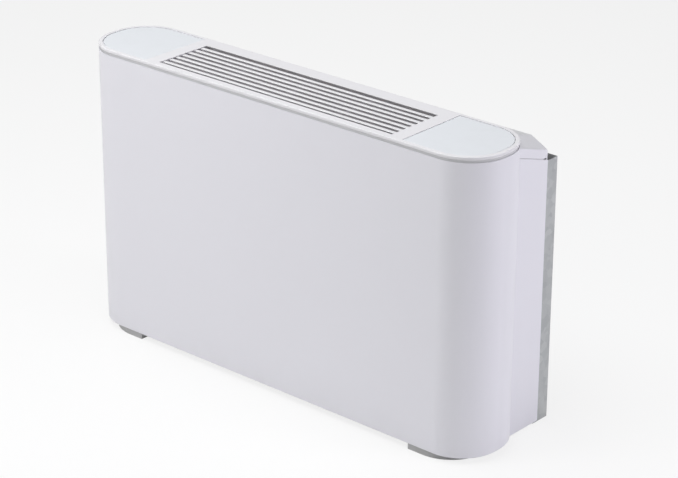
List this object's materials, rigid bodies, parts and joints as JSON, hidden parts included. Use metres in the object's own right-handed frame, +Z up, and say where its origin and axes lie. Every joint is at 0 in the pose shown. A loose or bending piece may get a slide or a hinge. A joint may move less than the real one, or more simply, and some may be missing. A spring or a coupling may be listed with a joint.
{
  "type": "fan coil unit",
  "caption": "Slim floor-standing fan coil unit: white round-ended casing, slotted top outlet, hinged service lids and a sloping rear box.",
  "frame": {"origin": "on the floor, under the middle of the overall box", "axes": "+Z up, front panel towards -Y, wall side towards +Y, +X to the right seen from the front"},
  "size_m": [0.8, 0.226, 0.49],
  "materials": {
    "white_sheet": "semi-gloss white powder coat",
    "white_cover": "satin white moulding",
    "foot_plastic": "satin grey moulding",
    "hood_sheet": "light grey painted sheet",
    "galvanised": "galvanised sheet",
    "fan_plastic": "dark moulding",
    "motor_can": "painted motor body",
    "steel": "bright steel",
    "rubber": "matt black rubber",
    "fins": "bare aluminium fins",
    "copper": "copper tube",
    "brass": "turned brass",
    "dark_pan": "insulated dark tray",
    "filter_frame": "dark moulding",
    "filter_mesh": "woven filter mesh",
    "terminal": "ivory moulding",
    "control": "dark grey satin moulding",
    "knob": "white moulding",
    "switch": "black moulding"
  },
  "bodies": {
    "cabinet": {"front_panel": "white_sheet", "top_cover": "white_cover", "outlet_grille": "white_cover", "left_foot": "foot_plastic", "right_foot": "foot_plastic", "left_rear_side": "white_sheet", "right_rear_side": "white_sheet", "rear_hood": "hood_sheet", "back_plate": "galvanised", "left_end_plate": "galvanised", "right_end_plate": "galvanised", "fan_deck": "galvanised", "left_scroll": "fan_plastic", "right_scroll": "fan_plastic", "motor": "motor_can", "motor_bearings": "steel", "motor_cradle": "galvanised", "motor_mounts": "rubber", "coil_fins": "fins", "coil_tubes": "copper", "return_bends": "copper", "coil_end_sheets": "galvanised", "supply_header": "copper", "return_header": "copper", "air_vents": "brass", "drain_pan": "dark_pan", "drain_spout": "dark_pan", "filter_rails": "galvanised", "electric_box": "galvanised", "box_bracket": "galvanised", "terminal_block": "terminal", "capacitor": "steel", "control_plate": "control", "cable_grommet": "rubber", "casing_screws": "steel", "hood_screws": "steel"},
    "left_lid_body": {"left_lid": "white_cover"},
    "right_lid_body": {"right_lid": "white_cover"},
    "rotor": {"motor_shaft": "steel", "left_impeller": "fan_plastic", "right_impeller": "fan_plastic"},
    "filter": {"filter_frame": "filter_frame", "filter_media": "filter_mesh"},
    "thermostat": {"thermostat_knob": "knob"},
    "speed_selector": {"speed_knob": "knob"},
    "season_rocker": {"season_switch": "switch"}
  },
  "joints": [
    {"name": "left_lid_hinge", "type": "hinge", "parent": "cabinet", "child": "left_lid_body", "pos_m": [-0.263, -0.04, 0.4871], "axis": [0, 1, 0], "range_deg": [0, 95]},
    {"name": "right_lid_hinge", "type": "hinge", "parent": "cabinet", "child": "right_lid_body", "pos_m": [0.263, -0.04, 0.4871], "axis": [0, -1, 0], "range_deg": [0, 95]},
    {"name": "fan_spin", "type": "hinge", "parent": "cabinet", "child": "rotor", "pos_m": [0, -0.002, 0.13], "axis": [1, 0, 0], "continuous": true},
    {"name": "filter_slide", "type": "slide", "parent": "cabinet", "child": "filter", "axis": [0, -1, 0], "range_m": [0, 0.14]},
    {"name": "thermostat_turn", "type": "hinge", "parent": "cabinet", "child": "thermostat", "pos_m": [0.31, -0.064, 0.455], "axis": [0, 0, 1], "range_deg": [-135, 135]},
    {"name": "speed_turn", "type": "hinge", "parent": "cabinet", "child": "speed_selector", "pos_m": [0.31, -0.016, 0.455], "axis": [0, 0, 1], "range_deg": [-120, 0]},
    {"name": "season_rock", "type": "hinge", "parent": "cabinet", "child": "season_rocker", "pos_m": [0.348, -0.04, 0.4535], "axis": [0, 1, 0], "range_deg": [-18, 0]}
  ]
}
